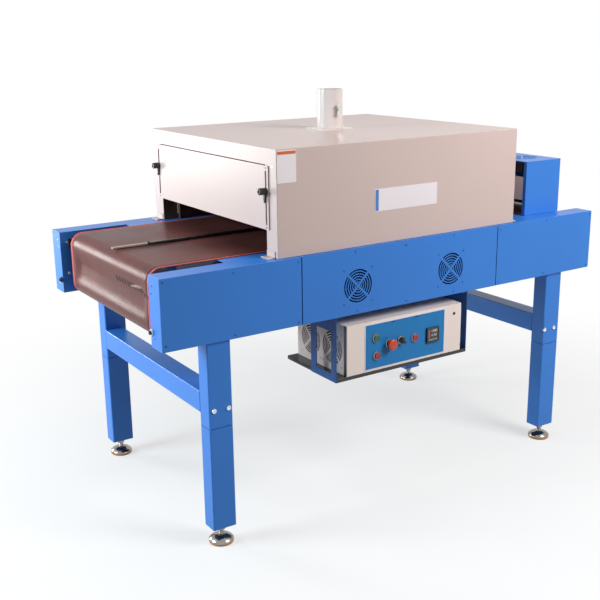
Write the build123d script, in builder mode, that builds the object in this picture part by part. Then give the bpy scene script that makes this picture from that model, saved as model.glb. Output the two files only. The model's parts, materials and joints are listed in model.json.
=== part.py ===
"""Belt shrink tunnel for heat shrink tubing: side frames, belt, hood, cooling cover and control box.

Millimetres, +X from infeed to outfeed, +Y to the far side, +Z up, floor at z = 0.
"""
import os

from build123d import *

# overall frame
frame_len = 1684.0          # side frames, end to end
frame_h = 205.0             # height of a side frame
frame_z = 637.0             # underside of the side frames above the floor
beam_d = 70.0               # depth of a side frame across the machine
sheet_t = 2.5               # folded frame sheet
cover_t = 2.0               # cover panel sheet
cover_gap = 3.0             # seam between cover panels
seam_in_x = -392.0          # seam between infeed and centre covers
seam_out_x = 384.0          # seam between centre and outfeed covers

# belt and bed
belt_w = 608.0
belt_side = 46.0            # belt edge off the side frames
belt_t = 2.0
binding_w = 16.0            # stitched edge binding of the belt
belt_rise = 2.0             # belt surface above the frame top
belt_h = 203.0              # outer height of the belt loop
infeed_inset = 20.0         # belt nose back from the frame ends
outfeed_inset = 48.0
nose_r = 40.0               # outer radius of the belt at a nose roller
roller_play = 0.3
shaft_d = 16.0
bed_t = 3.0
bed_lip = 26.0
bed_in = 5.0                # bed edge in from the belt edge
bed_end_gap = 12.0          # bed end back from the roller
strip_gap = 4.0             # side strips off the belt edge
strip_x = 606.0             # half length of the side strips
strip_t = 3.0
strip_lip = 26.0            # height of the side strips' flange
tie_size = 30.0             # square cross ties under the bed
tie_x = 560.0

# hood
hood_len = 930.0
hood_in = 12.0              # hood sides in from the cover panels
hood_h = 312.0
wall_t = 60.0               # insulated side walls
roof_t = 49.0
liner_t = 2.0
liner_inset = 55.0          # liner set back from the mouths
liner_lip = 14.0
liner_seam = 0.3            # between the liner's sheets

# infeed shutter
shut_lap = 20.0             # shutters over the side walls
shut_t = 3.0
shut_z0 = 78.0              # lower edge above the frame top
shut_z1 = 262.0             # upper edge above the frame top
shut_face = 1.0             # running gap to the hood face
slot_w = 10.0
slot_in = 12.0              # clamp slots in from the shutter's ends
slot_end = 14.0             # slot ends from the shutter's edges
stud_d = 8.0
stud_z = 190.0              # clamp studs above the frame top
stud_len = 26.0
hub_r = 10.0
hub_len = 24.0
hub_gap = 0.8
lever_len = 31.0            # arm, stud to the centre of its tip
lever_w = 13.0              # arm at the stud
lever_tip = 5.0             # arm at its tip
lever_t = 7.0
hub_edge = 2.0              # bevel round the outer end of the hub
lever_fit = 0.3             # lever bore over the stud, on the radius

# exhaust
pipe_d = 87.0
pipe_t = 2.0
pipe_h = 130.0
pipe_foot = 116.0
pipe_foot_t = 3.0
damper_z = 64.0             # damper spindle above the roof
damper_rod = 6.0
damper_t = 2.0
damper_play = 5.0
wing_lobe = 15.0            # wing handle, width of each lobe
wing_h = 38.0
wing_hub = 11.0
wing_t = 3.0

# cooling cover
cool_x0 = 578.0
cool_len = 166.0
cool_h = 187.0
cool_t = 3.0
cool_fan_in = 104.0         # fans in from the cover's sides
cool_end_z0 = 54.0          # lower edge of the cover's outfeed end, above the frame top
baffle_z0 = 54.0
baffle_z1 = 134.0

# fans and grilles
fan_size = 118.0
fan_depth = 38.0
fan_r = 52.0
fan_hub_r = 19.0
grille_slot = 4.8
grille_land = 3.6
grille_web = 7.0
side_fans_x = (-190.0, 181.0)
side_fan_z = 88.0           # above the underside of the side frame

# legs
leg_w = 76.0
leg_d = 57.0
leg_t = 3.0
leg_set = 10.0              # legs in from the cover panels
leg_in_x = -667.0
leg_out_x = 679.0
leg_z = 56.0                # lower end of the legs
sleeve_h = 260.0            # upper leg, down from the frame
splice_gap = 2.0
rail_w = 66.0
rail_h = 67.0
rail_top = 158.0            # below the underside of the side frames
rail_t = 3.0

# levelling feet
foot_r = 38.0
foot_pad_h = 9.0
foot_dome_h = 17.0
foot_stem_d = 16.0
foot_nut_d = 26.0
foot_nut_h = 12.0

# control box
box_x0 = -232.0
box_x1 = 232.0
box_z0 = 197.0              # box underside below the side frames
box_z1 = 35.0               # box top below the side frames
box_depth = 275.0
box_t = 1.5
front_t = 3.0
plate_t = 1.5
plate_x0, plate_x1 = -161.0, 159.0
plate_z0, plate_z1 = 189.0, 45.0
tray_x0, tray_x1 = -273.0, 259.0
tray_z = 209.0
tray_t = 3.0
tray_rim = 12.0
tray_depth = 281.0
hanger_t = 3.0
hanger_d = 137.0
hanger_flange = 24.0
box_fans_in = (79.0, 198.0) # fans of the control box, back from its front
box_fan_z = 122.0

# controls, z below the side frames
bezel_r = 14.5
bezel_t = 5.0
key_r = 11.0
key_play = 0.3
key_out = 9.0
key_in = 16.0
start_xz = (-122.0, 90.0)
halt_xz = (-119.0, 148.0)
stop_xz = (-70.0, 117.0)
mode_xz = (-22.0, 115.0)
reset_xz = (33.0, 117.0)
stop_r = 18.0
stop_cap = 13.0
stop_neck_r = 9.0
stop_reach = 26.0
knob_bar_w = 7.0
knob_bar_t = 9.0
knob_turn = 45.0            # selector bar off upright, lower end towards the outfeed
display_x0, display_x1 = 82.0, 132.0
display_z0, display_z1 = 145.0, 95.0
display_t = 8.0

# centre guide strip
guide_x0 = -806.0
guide_x1 = 540.0
guide_y = -14.0             # strip off the centre line
guide_w = 8.0
guide_h = 5.0
guide_tip = 114.0
guide_lift = 1.0
guide_rod = 8.0             # rods that carry the strip inside the hood
guide_rod_x = 200.0

# small fittings
take_up_in = 9.0            # take-up screws, outwards from the inner face of the side frame
take_up_z = 44.0            # above the underside of the side frame
collar_r = 10.0
collar_t = 4.0
head_r = 6.0
head_t = 5.0
hood_foot_w = 44.0
hood_foot_d = 24.0
hood_foot_h = 20.0
hood_foot_t = 3.0
wing_off = 11.0             # damper wing out from the pipe
cool_lip = 14.0
leg_cap = 6.0
splice_in = 80.0            # splice tube to each side of the seam
window_y = 26.0             # hanger window from its front edge
window_w = 81.0
window_z = 50.0             # below the side frames
window_h = 135.0

# shared positions
web_y = belt_w / 2 + belt_side                # inner faces of the side frames
frame_w = 2 * (web_y + beam_d)                # over the cover panels
near_reach = frame_w / 2 + plate_t + stop_reach
ym = (near_reach - frame_w / 2) / 2          # centre line of the conveyor
top = frame_z + frame_h
x_in, x_out = -frame_len / 2, frame_len / 2
y_near = ym - frame_w / 2
belt_top = top + belt_rise
belt_bot = belt_top - belt_h
nose_in_x = x_in + infeed_inset
nose_out_x = x_out - outfeed_inset
roller_r = nose_r - belt_t - roller_play
roller_in_x, roller_out_x = nose_in_x + nose_r, nose_out_x - nose_r
hood_top = top + hood_h
hood_x = hood_len / 2
hood_w = frame_w - 2 * hood_in
mouth_w = hood_w - 2 * wall_t
shut_w = mouth_w + 2 * shut_lap
slot_y = shut_w / 2 - slot_in                 # clamp studs off the centre line
strip_y = belt_w / 2 + strip_gap
cool_w = 2 * web_y
cool_fans_y = (cool_fan_in - cool_w / 2, cool_w / 2 - cool_fan_in)
leg_face = frame_w / 2 - leg_set              # outer faces of the legs off the centre line
front_y = -frame_w / 2                        # front of the control box
box_fans_y = [front_y + d for d in box_fans_in]
zb = frame_z                                  # level the control box hangs from
parts_dir = "parts"
os.makedirs(parts_dir, exist_ok=True)


def block(x0, x1, y0, y1, z0, z1, mode=Mode.ADD):
    """Box between two corners, Y measured from the conveyor's centre line."""
    with Locations(((x0 + x1) / 2, ym + (y0 + y1) / 2, (z0 + z1) / 2)):
        return Box(abs(x1 - x0), abs(y1 - y0), abs(z1 - z0), mode=mode)


def rod_y(x, y0, y1, z, r, mode=Mode.ADD):
    with Locations(Location((x, ym + (y0 + y1) / 2, z), (90, 0, 0))):
        return Cylinder(r, abs(y1 - y0), mode=mode)


def rod_x(x0, x1, y, z, r, mode=Mode.ADD):
    with Locations(Location(((x0 + x1) / 2, ym + y, z), (0, 90, 0))):
        return Cylinder(r, abs(x1 - x0), mode=mode)


def rod_z(x, y, z0, z1, r, mode=Mode.ADD):
    with Locations((x, ym + y, (z0 + z1) / 2)):
        return Cylinder(r, abs(z1 - z0), mode=mode)


def save(work, label):
    work.part.label = label
    export_step(work.part, os.path.join(parts_dir, label + ".step"))


def grille_cutter(plane, u, v, depth):
    """Solid of the ring slots of a punched fan grille that keeps an X of two diagonal webs."""
    with BuildPart() as cutter:
        with BuildSketch(plane):
            with Locations((u, v)):
                r = fan_r
                while r > 9.0:
                    Circle(r)
                    Circle(r - grille_slot, mode=Mode.SUBTRACT)
                    r -= grille_slot + grille_land
            with Locations(Location((u, v), 45.0), Location((u, v), -45.0)):
                Rectangle(2.4 * fan_r, grille_web, mode=Mode.SUBTRACT)
        extrude(amount=depth, both=True)
    return cutter.part


def fan_unit(plane, u, v):
    """Axial fan behind a grille: square frame with a round duct, hub and struts, inwards from the plane."""
    with BuildPart() as unit:
        with BuildSketch(plane):
            with Locations((u, v)):
                RectangleRounded(fan_size, fan_size, 7.0)
                Circle(fan_r + 2.0, mode=Mode.SUBTRACT)
        extrude(amount=fan_depth)
        with BuildSketch(plane.offset(6.0)):
            with Locations((u, v)):
                Circle(fan_hub_r)
        extrude(amount=fan_depth - 6.0)
        with BuildSketch(plane.offset(fan_depth - 4.0)):
            for turn in (45.0, -45.0):
                with Locations(Location((u, v), turn)):
                    Rectangle(2 * fan_r + 8.0, 5.0)
        extrude(amount=4.0)
    return unit.part


# side frames
for s, side in ((-1, "near"), (1, "far")):
    with BuildPart() as side_frame:
        with BuildSketch(Plane.YZ.offset(x_in)):
            y_mid = ym + s * (web_y + (beam_d - cover_t) / 2)
            with Locations((y_mid, frame_z + frame_h / 2)):
                Rectangle(beam_d - cover_t, frame_h)
            with Locations((y_mid + s * sheet_t, frame_z + frame_h / 2)):
                Rectangle(beam_d - cover_t, frame_h - 2 * sheet_t, mode=Mode.SUBTRACT)
        extrude(amount=frame_len)
        for x in (x_in, x_out - sheet_t):
            block(x, x + sheet_t, s * web_y, s * (frame_w / 2 - cover_t), frame_z, top)
    save(side_frame, f"side_frame_{side}")

# cover panels
panel_spans = (
    ("infeed", x_in, seam_in_x - cover_gap / 2),
    ("centre", seam_in_x + cover_gap / 2, seam_out_x - cover_gap / 2),
    ("outfeed", seam_out_x + cover_gap / 2, x_out),
)
for s, side in ((-1, "near"), (1, "far")):
    for place, x0, x1 in panel_spans:
        with BuildPart() as cover_panel:
            block(x0, x1, s * (frame_w / 2 - cover_t), s * frame_w / 2, frame_z, top)
            if side == "near" and place == "centre":
                for x in side_fans_x:
                    slots = grille_cutter(Plane.XZ.offset(-y_near), x, frame_z + side_fan_z, 2 * cover_t)
                    add(slots, mode=Mode.SUBTRACT)
        save(cover_panel, f"{side}_{place}_cover")

with BuildPart() as side_fans:
    behind = Plane(origin=(0, y_near + cover_t, 0), x_dir=(-1, 0, 0), z_dir=(0, 1, 0))
    for x in side_fans_x:
        add(fan_unit(behind, -x, frame_z + side_fan_z))
save(side_fans, "side_fans")

# slider bed, ties and side strips
bed_top = belt_top - belt_t
bed_x0 = roller_in_x + roller_r + bed_end_gap
bed_x1 = roller_out_x - roller_r - bed_end_gap
with BuildPart() as slider_bed:
    with BuildSketch(Plane.YZ.offset(bed_x0)):
        with Locations((ym, bed_top - (bed_t + bed_lip) / 2)):
            Rectangle(belt_w - 2 * bed_in, bed_t + bed_lip)
        with Locations((ym, bed_top - bed_t - bed_lip / 2)):
            Rectangle(belt_w - 2 * (bed_in + bed_t), bed_lip, mode=Mode.SUBTRACT)
    extrude(amount=bed_x1 - bed_x0)
save(slider_bed, "slider_bed")

tie_top = bed_top - bed_t - bed_lip
with BuildPart() as cross_ties:
    for x in (-tie_x, 0.0, tie_x):
        block(x - tie_size / 2, x + tie_size / 2, -web_y, web_y, tie_top - tie_size, tie_top)
save(cross_ties, "cross_ties")

with BuildPart() as side_strips:
    for s in (-1, 1):
        block(-strip_x, strip_x, s * strip_y, s * web_y, top - strip_t, top)
        block(-strip_x, strip_x, s * (web_y - strip_t), s * web_y, top - strip_lip, top - strip_t)
save(side_strips, "bed_side_strips")

# belt and rollers
belt_mid = ((nose_in_x + nose_out_x) / 2, (belt_top + belt_bot) / 2)
belt_len = nose_out_x - nose_in_x


def belt_loop(y0, y1):
    with BuildPart() as loop:
        with BuildSketch(Plane.XZ.offset(-(ym + y0))):
            with Locations(belt_mid):
                RectangleRounded(belt_len, belt_h, nose_r)
                RectangleRounded(belt_len - 2 * belt_t, belt_h - 2 * belt_t, nose_r - belt_t, mode=Mode.SUBTRACT)
        extrude(amount=-(y1 - y0))
    return loop.part


with BuildPart() as conveyor_belt:
    add(belt_loop(-(belt_w / 2 - binding_w), belt_w / 2 - binding_w))
save(conveyor_belt, "conveyor_belt")

with BuildPart() as belt_binding:
    add(belt_loop(-belt_w / 2, -(belt_w / 2 - binding_w)))
    add(belt_loop(belt_w / 2 - binding_w, belt_w / 2))
save(belt_binding, "belt_edge_binding")

for x, place in ((roller_in_x, "infeed"), (roller_out_x, "outfeed")):
    with BuildPart() as rollers:
        for z in (belt_top - nose_r, belt_bot + nose_r):
            rod_y(x, -belt_w / 2, belt_w / 2, z, roller_r)
            rod_y(x, -web_y, web_y, z, shaft_d / 2)
    save(rollers, f"{place}_rollers")

with BuildPart() as take_up:
    for sx in (-1, 1):
        for sy in (-1, 1):
            y = sy * (web_y + take_up_in)
            z = frame_z + take_up_z
            rod_x(sx * frame_len / 2, sx * (frame_len / 2 + collar_t), y, z, collar_r)
            rod_x(sx * (frame_len / 2 + collar_t), sx * (frame_len / 2 + collar_t + head_t), y, z, head_r)
save(take_up, "take_up_screws")

# hood
for s, side in ((-1, "near"), (1, "far")):
    with BuildPart() as hood_wall:
        block(-hood_x, hood_x, s * mouth_w / 2, s * hood_w / 2, top, hood_top)
    save(hood_wall, f"hood_{side}_wall")

with BuildPart() as hood_roof:
    block(-hood_x, hood_x, -mouth_w / 2, mouth_w / 2, hood_top - roof_t, hood_top)
    rod_z(0, 0, hood_top - roof_t, hood_top, pipe_d / 2 - pipe_t, mode=Mode.SUBTRACT)
save(hood_roof, "hood_roof")

with BuildPart() as hood_feet:
    for sx in (-1, 1):
        for sy in (-1, 1):
            x = sx * hood_x
            ya, yb = sy * (mouth_w / 2 + 4.0), sy * (mouth_w / 2 + 4.0 + hood_foot_w)
            block(x, x + sx * hood_foot_d, ya, yb, top, top + hood_foot_t)
            block(x, x + sx * hood_foot_t, ya, yb, top + hood_foot_t, top + hood_foot_h)
save(hood_feet, "hood_feet")

liner_x = hood_x - liner_inset
inner_top = hood_top - roof_t
sheet_z = inner_top - liner_t
vent_half = pipe_d / 2      # square cut in the roof sheets under the duct
with BuildPart() as chamber_liner:
    for s in (-1, 1):
        ya, yb = s * (mouth_w / 2 - liner_t), s * mouth_w / 2
        block(-liner_x, liner_x, ya, yb, top, sheet_z - liner_seam)
        for x in (-liner_x, liner_x - liner_t):
            block(x, x + liner_t, ya - s * liner_lip, ya, top, sheet_z - liner_seam)
        block(s * vent_half, s * liner_x, -mouth_w / 2, mouth_w / 2, sheet_z, inner_top)
        block(liner_seam - vent_half, vent_half - liner_seam, s * vent_half, yb, sheet_z, inner_top)
save(chamber_liner, "chamber_liner")

# shutters and clamp levers
shut_x = -hood_x - shut_face
with BuildPart() as infeed_shutter:
    with BuildSketch(Plane.YZ.offset(shut_x - shut_t)):
        with Locations((ym, top + (shut_z0 + shut_z1) / 2)):
            RectangleRounded(shut_w, shut_z1 - shut_z0, 5.0)
            with Locations((-slot_y, 0), (slot_y, 0)):
                with Locations(Location((0, 0), 90.0)):
                    SlotOverall(shut_z1 - shut_z0 - 2 * slot_end, slot_w, mode=Mode.SUBTRACT)
    extrude(amount=shut_t)
save(infeed_shutter, "infeed_shutter")

with BuildPart() as outfeed_shutter:
    with BuildSketch(Plane.YZ.offset(hood_x)):
        with Locations((ym, top + (shut_z0 + shut_z1) / 2)):
            RectangleRounded(shut_w, shut_z1 - shut_z0, 5.0)
    extrude(amount=shut_t)
save(outfeed_shutter, "outfeed_shutter")

clamp_z = top + stud_z
with BuildPart() as clamp_studs:
    for s in (-1, 1):
        rod_x(-hood_x - stud_len, -hood_x, s * slot_y, clamp_z, stud_d / 2)
save(clamp_studs, "clamp_studs")

for s, side in ((-1, "near"), (1, "far")):
    hub_x = shut_x - shut_t - hub_gap
    y = s * slot_y
    with BuildPart() as clamp_lever:
        rod_x(hub_x - hub_len, hub_x, y, clamp_z, hub_r)
        chamfer(clamp_lever.edges().filter_by(GeomType.CIRCLE).group_by(Axis.X)[0], hub_edge)
        with BuildSketch(Plane.YZ.offset(hub_x - lever_t)):
            with Locations((ym + y, clamp_z)):
                Circle(lever_w / 2)
            with Locations((ym + y, clamp_z - lever_len)):
                Circle(lever_tip / 2)
            make_hull()
        extrude(amount=lever_t)
        rod_x(hub_x - hub_len, hub_x, y, clamp_z, stud_d / 2 + lever_fit, mode=Mode.SUBTRACT)
    save(clamp_lever, f"{side}_clamp_lever")

# exhaust pipe and damper
with BuildPart() as exhaust_pipe:
    block(-pipe_foot / 2, pipe_foot / 2, -pipe_foot / 2, pipe_foot / 2, hood_top, hood_top + pipe_foot_t)
    rod_z(0, 0, hood_top, hood_top + pipe_h, pipe_d / 2)
    rod_z(0, 0, hood_top, hood_top + pipe_h, pipe_d / 2 - pipe_t, mode=Mode.SUBTRACT)
    rod_y(0, -pipe_d, pipe_d, hood_top + damper_z, damper_rod / 2 + lever_fit, mode=Mode.SUBTRACT)
save(exhaust_pipe, "exhaust_pipe")

with BuildPart() as exhaust_damper:
    rod_y(0, -(pipe_d / 2 + wing_off), pipe_d / 2 + 5.0, hood_top + damper_z, damper_rod / 2)
    rod_x(-damper_t / 2, damper_t / 2, 0, hood_top + damper_z, pipe_d / 2 - pipe_t - damper_play)
    with BuildSketch(Plane.XZ.offset(pipe_d / 2 + wing_off - ym)):
        with Locations((0, hood_top + damper_z)):
            Circle(wing_hub / 2)
            Rectangle(wing_hub / 2, wing_h - wing_lobe)
            with Locations((0, (wing_h - wing_lobe) / 2), (0, (wing_lobe - wing_h) / 2)):
                Circle(wing_lobe / 2)
    extrude(amount=wing_t)
save(exhaust_damper, "exhaust_damper")

# cooling cover over the outfeed belt
cool_x1 = cool_x0 + cool_len
for s, side in ((-1, "near"), (1, "far")):
    with BuildPart() as cool_side:
        block(cool_x0, cool_x1, s * (cool_w / 2 - cool_t), s * cool_w / 2, top, top + cool_h - cool_t)
        for x in (cool_x0, cool_x1 - cool_t):
            block(x, x + cool_t, s * (cool_w / 2 - cool_lip), s * (cool_w / 2 - cool_t), top, top + cool_h - cool_t)
    save(cool_side, f"cooling_cover_{side}")

fan_x = (cool_x0 + cool_x1) / 2
with BuildPart() as cool_top:
    block(cool_x0, cool_x1, -cool_w / 2, cool_w / 2, top + cool_h - cool_t, top + cool_h)
    block(cool_x1 - cool_t, cool_x1, cool_lip - cool_w / 2, cool_w / 2 - cool_lip, top + cool_end_z0,
          top + cool_h - cool_t)
    for y in cool_fans_y:
        add(grille_cutter(Plane.XY.offset(top + cool_h), fan_x, ym + y, 2 * cool_t), mode=Mode.SUBTRACT)
save(cool_top, "cooling_cover_top")

with BuildPart() as cooling_fans:
    under = Plane(origin=(0, 0, top + cool_h - cool_t), x_dir=(1, 0, 0), z_dir=(0, 0, -1))
    for y in cool_fans_y:
        add(fan_unit(under, fan_x, -(ym + y)))
save(cooling_fans, "cooling_fans")

with BuildPart() as cooling_baffle:
    block(cool_x0, cool_x0 + cool_t, -(cool_w / 2 - cool_lip), cool_w / 2 - cool_lip, top + baffle_z0, top + baffle_z1)
save(cooling_baffle, "cooling_baffle")

# centre guide strip
guide_z = belt_top + guide_lift
with BuildPart() as guide_strip:
    block(guide_x0 + guide_tip, guide_x1, guide_y - guide_w / 2, guide_y + guide_w / 2, guide_z, guide_z + guide_h)
    for x in (-guide_rod_x, guide_rod_x):
        rod_z(x, guide_y, guide_z + guide_h, sheet_z, guide_rod / 2)
save(guide_strip, "centre_guide_strip")

with BuildPart() as guide_tip_piece:
    block(guide_x0, guide_x0 + guide_tip, guide_y - guide_w / 2, guide_y + guide_w / 2, guide_z, guide_z + guide_h)
save(guide_tip_piece, "guide_strip_tip")

# legs, rails and feet
leg_y = leg_face - leg_d / 2
leg_spots = [(x, s * leg_y) for x in (leg_in_x, leg_out_x) for s in (-1, 1)]
splice_z = frame_z - sleeve_h


def leg_tube(x, y, z0, z1):
    with BuildPart() as tube:
        with BuildSketch(Plane.XY.offset(z0)):
            with Locations((x, ym + y)):
                RectangleRounded(leg_w, leg_d, 4.0)
                Rectangle(leg_w - 2 * leg_t, leg_d - 2 * leg_t, mode=Mode.SUBTRACT)
        extrude(amount=z1 - z0)
    return tube.part


with BuildPart() as upper_legs:
    for x, y in leg_spots:
        add(leg_tube(x, y, splice_z, frame_z))
save(upper_legs, "upper_legs")

with BuildPart() as lower_legs:
    for x, y in leg_spots:
        add(leg_tube(x, y, leg_z, splice_z - splice_gap))
        block(x - leg_w / 2 + leg_t, x + leg_w / 2 - leg_t, y - leg_d / 2 + leg_t, y + leg_d / 2 - leg_t,
              leg_z, leg_z + leg_cap)
        with BuildSketch(Plane.XY.offset(splice_z - splice_in)):
            with Locations((x, ym + y)):
                Rectangle(leg_w - 2 * leg_t, leg_d - 2 * leg_t)
                Rectangle(leg_w - 4 * leg_t, leg_d - 4 * leg_t, mode=Mode.SUBTRACT)
        extrude(amount=2 * splice_in)
save(lower_legs, "lower_legs")

with BuildPart() as cross_rails:
    for x in (leg_in_x, leg_out_x):
        with BuildSketch(Plane.XZ.offset(-(ym - leg_face + leg_d))):
            with Locations((x - leg_w / 2 + rail_w / 2, frame_z - rail_top - rail_h / 2)):
                RectangleRounded(rail_w, rail_h, 4.0)
                Rectangle(rail_w - 2 * rail_t, rail_h - 2 * rail_t, mode=Mode.SUBTRACT)
        extrude(amount=-2 * (leg_face - leg_d))
save(cross_rails, "cross_rails")

with BuildPart() as foot:
    with BuildSketch(Plane.XZ):
        with BuildLine():
            Polyline((0, 0), (foot_r - 2.0, 0), (foot_r, 2.0), (foot_r, foot_pad_h))
            ThreePointArc((foot_r, foot_pad_h), (foot_r * 0.74, foot_pad_h + foot_dome_h * 0.64),
                          (foot_nut_d / 2, foot_pad_h + foot_dome_h))
            Polyline((foot_nut_d / 2, foot_pad_h + foot_dome_h), (foot_stem_d / 2, foot_pad_h + foot_dome_h),
                     (foot_stem_d / 2, leg_z), (0, leg_z), (0, 0))
        make_face()
    revolve(axis=Axis.Z)
    with BuildSketch(Plane.XY.offset(leg_z - foot_nut_h - 4.0)):
        RegularPolygon(foot_nut_d / 2, 6)
    extrude(amount=foot_nut_h)

with BuildPart() as levelling_feet:
    for x, y in leg_spots:
        add(foot.part.moved(Location((x, ym + y, 0))))
save(levelling_feet, "levelling_feet")

# control box, tray and hangers
back_y = front_y + box_depth
box_low, box_high = zb - box_z0, zb - box_z1
with BuildPart() as control_box:
    block(box_x0, box_x1, front_y + front_t, back_y, box_low, box_high)
    block(box_x0 + box_t, box_x1 - box_t, front_y + front_t, back_y - box_t, box_low + box_t, box_high - box_t,
          mode=Mode.SUBTRACT)
    for y in box_fans_y:
        add(grille_cutter(Plane.YZ.offset(box_x0), ym + y, zb - box_fan_z, 2 * box_t), mode=Mode.SUBTRACT)
save(control_box, "control_box")

with BuildPart() as box_fans:
    for y in box_fans_y:
        add(fan_unit(Plane.YZ.offset(box_x0 + box_t), ym + y, zb - box_fan_z))
save(box_fans, "control_box_fans")

hole_r = key_r + key_play
controls = {"start": start_xz, "halt": halt_xz, "stop": stop_xz, "mode": mode_xz, "reset": reset_xz}
plate_y = front_y - plate_t
with BuildPart() as box_front:
    block(box_x0, box_x1, front_y, front_y + front_t, box_low, box_high)
    for x, z in controls.values():
        rod_y(x, front_y, front_y + front_t, zb - z, hole_r, mode=Mode.SUBTRACT)
save(box_front, "control_box_front")

with BuildPart() as panel_plate:
    block(plate_x0, plate_x1, plate_y, front_y, zb - plate_z0, zb - plate_z1)
    for x, z in controls.values():
        rod_y(x, plate_y, front_y, zb - z, hole_r, mode=Mode.SUBTRACT)
save(panel_plate, "control_panel_plate")

with BuildPart() as bezels:
    for name, (x, z) in controls.items():
        inner = stop_neck_r + key_play if name == "stop" else hole_r
        rod_y(x, plate_y - bezel_t, plate_y, zb - z, bezel_r)
        rod_y(x, plate_y - bezel_t, plate_y, zb - z, inner, mode=Mode.SUBTRACT)
save(bezels, "control_bezels")

for name, label in (("start", "start_button"), ("halt", "halt_button"), ("reset", "reset_button")):
    x, z = controls[name]
    with BuildPart() as key:
        rod_y(x, plate_y - key_out, front_y + key_in, zb - z, key_r)
    save(key, label)

x, z = stop_xz
with BuildPart() as stop_button:
    rod_y(x, plate_y - stop_reach, plate_y - stop_reach + stop_cap, zb - z, stop_r)
    rod_y(x, plate_y - stop_reach + stop_cap, front_y + key_in, zb - z, stop_neck_r)
save(stop_button, "stop_button")

x, z = mode_xz
with BuildPart() as selector:
    rod_y(x, plate_y - key_out, front_y + key_in, zb - z, key_r)
    with BuildSketch(Plane.XZ.offset(key_out - plate_y - ym)):
        with Locations(Location((x, zb - z), knob_turn)):
            Rectangle(knob_bar_w, 2 * key_r)
    extrude(amount=knob_bar_t)
save(selector, "mode_selector")

with BuildPart() as display:
    block(display_x0, display_x1, plate_y - display_t, plate_y, zb - display_z0, zb - display_z1)
save(display, "temperature_display")

with BuildPart() as tray:
    x0, x1 = tray_x0 + hanger_t, tray_x1 - hanger_t
    with BuildSketch(Plane.XY.offset(zb - tray_z)):
        with Locations(((x0 + x1) / 2, ym + front_y + tray_depth / 2)):
            Rectangle(x1 - x0, tray_depth)
    extrude(amount=tray_rim)
    block(x0 + tray_t, x1 - tray_t, front_y + tray_t, front_y + tray_depth - tray_t, zb - tray_z,
          zb - box_z0 - tray_t, mode=Mode.SUBTRACT)
save(tray, "control_box_tray")

for x, s, side in ((tray_x0, 1, "infeed"), (tray_x1, -1, "outfeed")):
    with BuildPart() as hanger:
        with BuildSketch(Plane.YZ.offset(min(x, x + s * hanger_t))):
            with Locations((ym + front_y + hanger_d / 2, zb - tray_z / 2)):
                Rectangle(hanger_d, tray_z)
            with Locations((ym + front_y + window_y + window_w / 2, zb - window_z - window_h / 2)):
                Rectangle(window_w, window_h, mode=Mode.SUBTRACT)
        extrude(amount=hanger_t)
        block(x + s * hanger_t, x + s * hanger_flange, front_y + cover_t, front_y + beam_d, zb - hanger_t, zb)
    save(hanger, f"{side}_hanger")
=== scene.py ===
"""Belt shrink tunnel: paint, belt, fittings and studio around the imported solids.

Metres, +X from infeed to outfeed, +Y to the far side, +Z up. Places written in
millimetres are taken from the conveyor's centre line and the underside of the
side frames, and go through place().
"""

import json
from math import pi, radians

import bmesh
import bpy
from bpy.props import FloatProperty, FloatVectorProperty, IntProperty, PointerProperty
from mathutils import Matrix, Vector

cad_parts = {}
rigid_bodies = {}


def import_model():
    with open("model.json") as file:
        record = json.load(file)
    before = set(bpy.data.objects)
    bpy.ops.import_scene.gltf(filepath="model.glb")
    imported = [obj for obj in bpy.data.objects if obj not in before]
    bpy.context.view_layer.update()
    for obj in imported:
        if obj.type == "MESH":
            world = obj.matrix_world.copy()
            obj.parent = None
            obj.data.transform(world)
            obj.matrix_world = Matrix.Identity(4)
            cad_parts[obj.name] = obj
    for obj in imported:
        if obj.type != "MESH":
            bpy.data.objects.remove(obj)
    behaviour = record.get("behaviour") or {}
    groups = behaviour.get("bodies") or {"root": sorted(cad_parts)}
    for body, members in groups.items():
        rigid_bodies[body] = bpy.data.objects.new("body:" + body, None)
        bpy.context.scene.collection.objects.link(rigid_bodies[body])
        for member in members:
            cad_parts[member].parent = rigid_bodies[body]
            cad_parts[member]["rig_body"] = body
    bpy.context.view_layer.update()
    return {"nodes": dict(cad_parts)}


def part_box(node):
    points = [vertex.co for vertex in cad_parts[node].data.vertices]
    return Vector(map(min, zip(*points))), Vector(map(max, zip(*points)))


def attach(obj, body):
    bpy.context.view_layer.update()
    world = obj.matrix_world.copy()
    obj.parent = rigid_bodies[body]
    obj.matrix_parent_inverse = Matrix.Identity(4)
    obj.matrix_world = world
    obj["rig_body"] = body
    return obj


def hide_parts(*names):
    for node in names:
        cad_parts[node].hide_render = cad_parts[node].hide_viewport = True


bl_info = {
    "name": "Belt Shrink Tunnel",
    "version": (1, 0, 0),
    "blender": (4, 5, 0),
    "location": "View3D > Sidebar > Shrink Tunnel",
    "description": "Paints and fits out a belt shrink tunnel around its solids",
    "category": "Object",
}

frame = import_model()
NODES = frame["nodes"]

BELT_LOW, BELT_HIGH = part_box("conveyor_belt")
BINDING_LOW, BINDING_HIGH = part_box("belt_edge_binding")
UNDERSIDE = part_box("side_frame_near")[0].z
CENTRE_Y = (BINDING_LOW.y + BINDING_HIGH.y) / 2

INFEED, NEAR, FAR, UP = (-1, 0, 0), (0, -1, 0), (0, 1, 0), (0, 0, 1)
SIDES = (("near", -1), ("far", 1))
CORNERS = ((-1, -1), (-1, 1), (1, -1), (1, 1))
FAN_SCREW = 52.5  # millimetres from a fan's middle to its screws, along and across
SCREW_HEIGHT = 0.0011
SHARP = 32.0  # degrees between two faces from which their edge shades sharp
ROUND_SHARP = 50.0  # the same on the belt and on small turned pieces
BENT = 25.0  # degrees between two faces from which their edge is rounded
SAME_POINT, CLOSE = 1e-6, 1e-5


def place(x, y, z):
    """Point in metres from millimetres off the centre line and the frames' underside."""
    return Vector((x / 1000, CENTRE_Y + y / 1000, UNDERSIDE + z / 1000))


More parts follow.
